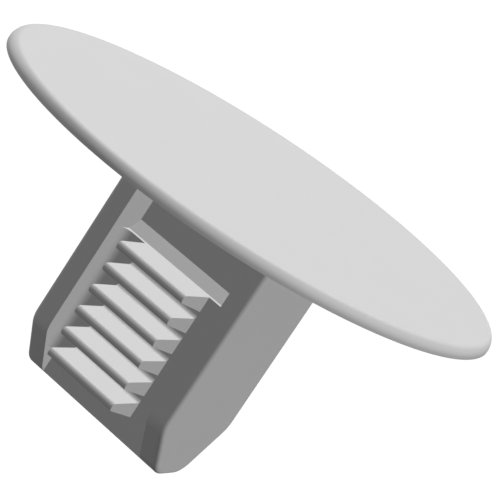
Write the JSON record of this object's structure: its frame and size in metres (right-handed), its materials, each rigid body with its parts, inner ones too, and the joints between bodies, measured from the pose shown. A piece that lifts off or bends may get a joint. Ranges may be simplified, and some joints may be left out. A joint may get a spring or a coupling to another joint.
{
  "type": "headliner clip",
  "caption": "Push-in trim clip with a thin round head and a block shank, ribbed on two faces, that pins a vehicle's headliner to a slotted panel.",
  "frame": {"origin": "centre of the head's underside, where it seats on the trim", "axes": "+Z out of the head's outer face, the shank hanging along -Z; the ribs run along X and stand out along -Y and +Y"},
  "size_m": [0.03, 0.03, 0.0158],
  "materials": {
    "moulded_nylon": "light grey moulded nylon with a fine matt surface"
  },
  "bodies": {
    "root": {"clip": "moulded_nylon"}
  },
  "joints": []
}
